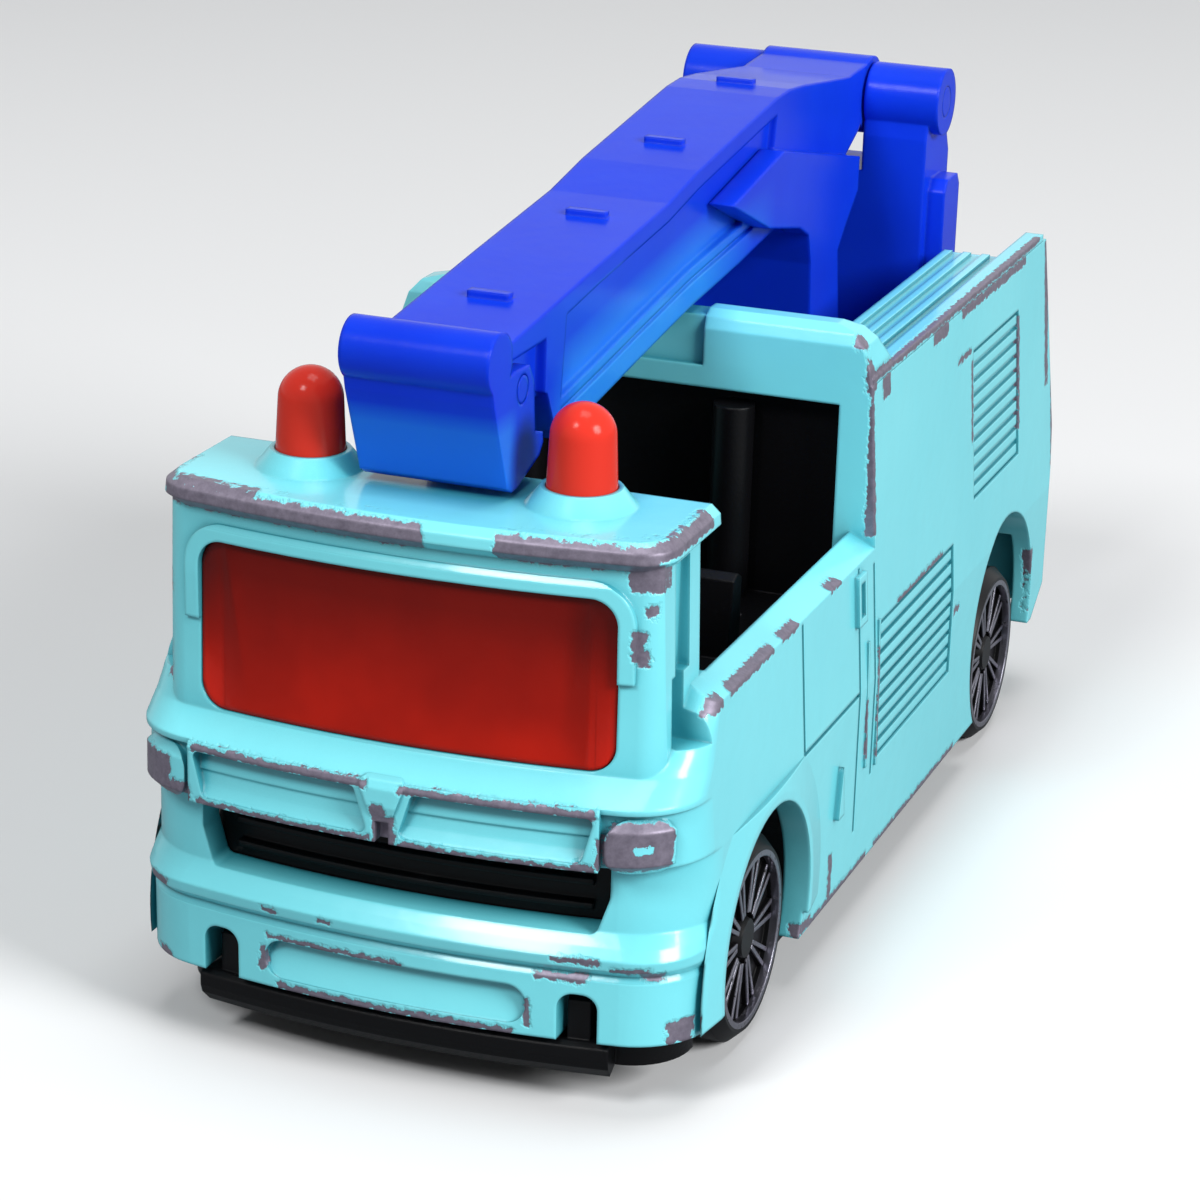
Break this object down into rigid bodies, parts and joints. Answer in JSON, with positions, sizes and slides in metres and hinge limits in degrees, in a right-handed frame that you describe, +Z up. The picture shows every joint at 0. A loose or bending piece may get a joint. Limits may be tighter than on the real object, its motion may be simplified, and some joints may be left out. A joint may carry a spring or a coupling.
{
  "type": "toy aerial platform truck",
  "caption": "Small die-cast toy truck with an open cab, roof beacons, rolling wheels and a folding boom with a bucket lying over the cab.",
  "frame": {"origin": "on the ground under the middle of the vehicle's bounding box", "axes": "-Y is forwards (the nose), +X is the vehicle's left side, +Z is up"},
  "size_m": [0.0336, 0.0803, 0.0465],
  "materials": {
    "painted_zinc": "gloss enamel, chipped to the bare zinc at the edges",
    "black_plastic": "fine satin",
    "red_clear_plastic": "clear red moulding",
    "blue_plastic": "semi-gloss moulding",
    "rivet_steel": "plain",
    "axle_steel": "plain drawn wire",
    "wheel_plastic": "black moulding with a silver foil ring and spokes"
  },
  "bodies": {
    "chassis": {"body_shell": "painted_zinc", "base_plate": "black_plastic", "cab_interior": "black_plastic", "window_beacons": "red_clear_plastic"},
    "turntable": {"turntable": "blue_plastic", "turntable_rivet": "rivet_steel"},
    "lower_arm": {"lower_arm": "blue_plastic"},
    "upper_boom": {"upper_boom": "blue_plastic"},
    "bucket": {"bucket": "blue_plastic"},
    "front_wheels": {"front_axle": "axle_steel", "wheel_front_left": "wheel_plastic", "wheel_front_right": "wheel_plastic"},
    "rear_wheels": {"rear_axle": "axle_steel", "wheel_rear_left": "wheel_plastic", "wheel_rear_right": "wheel_plastic"}
  },
  "joints": [
    {"name": "front_axle_spin", "type": "hinge", "parent": "chassis", "child": "front_wheels", "pos_m": [0, -0.0242, 0.00595], "axis": [1, 0, 0], "continuous": true},
    {"name": "rear_axle_spin", "type": "hinge", "parent": "chassis", "child": "rear_wheels", "pos_m": [0, 0.0272, 0.00595], "axis": [1, 0, 0], "continuous": true},
    {"name": "turntable_turn", "type": "hinge", "parent": "chassis", "child": "turntable", "pos_m": [0, 0.0211, 0.0153], "axis": [0, 0, 1], "range_deg": [-0.8, 0.8]},
    {"name": "lower_arm_raise", "type": "hinge", "parent": "turntable", "child": "lower_arm", "pos_m": [0, 0.0331, 0.0186], "axis": [-1, 0, 0], "range_deg": [0, 35]},
    {"name": "upper_boom_raise", "type": "hinge", "parent": "lower_arm", "child": "upper_boom", "pos_m": [0, 0.0322, 0.0426], "axis": [-1, 0, 0], "range_deg": [0, 110]},
    {"name": "bucket_tilt", "type": "hinge", "parent": "upper_boom", "child": "bucket", "pos_m": [0, -0.0318, 0.0384], "axis": [1, 0, 0], "range_deg": [0, 16]}
  ]
}
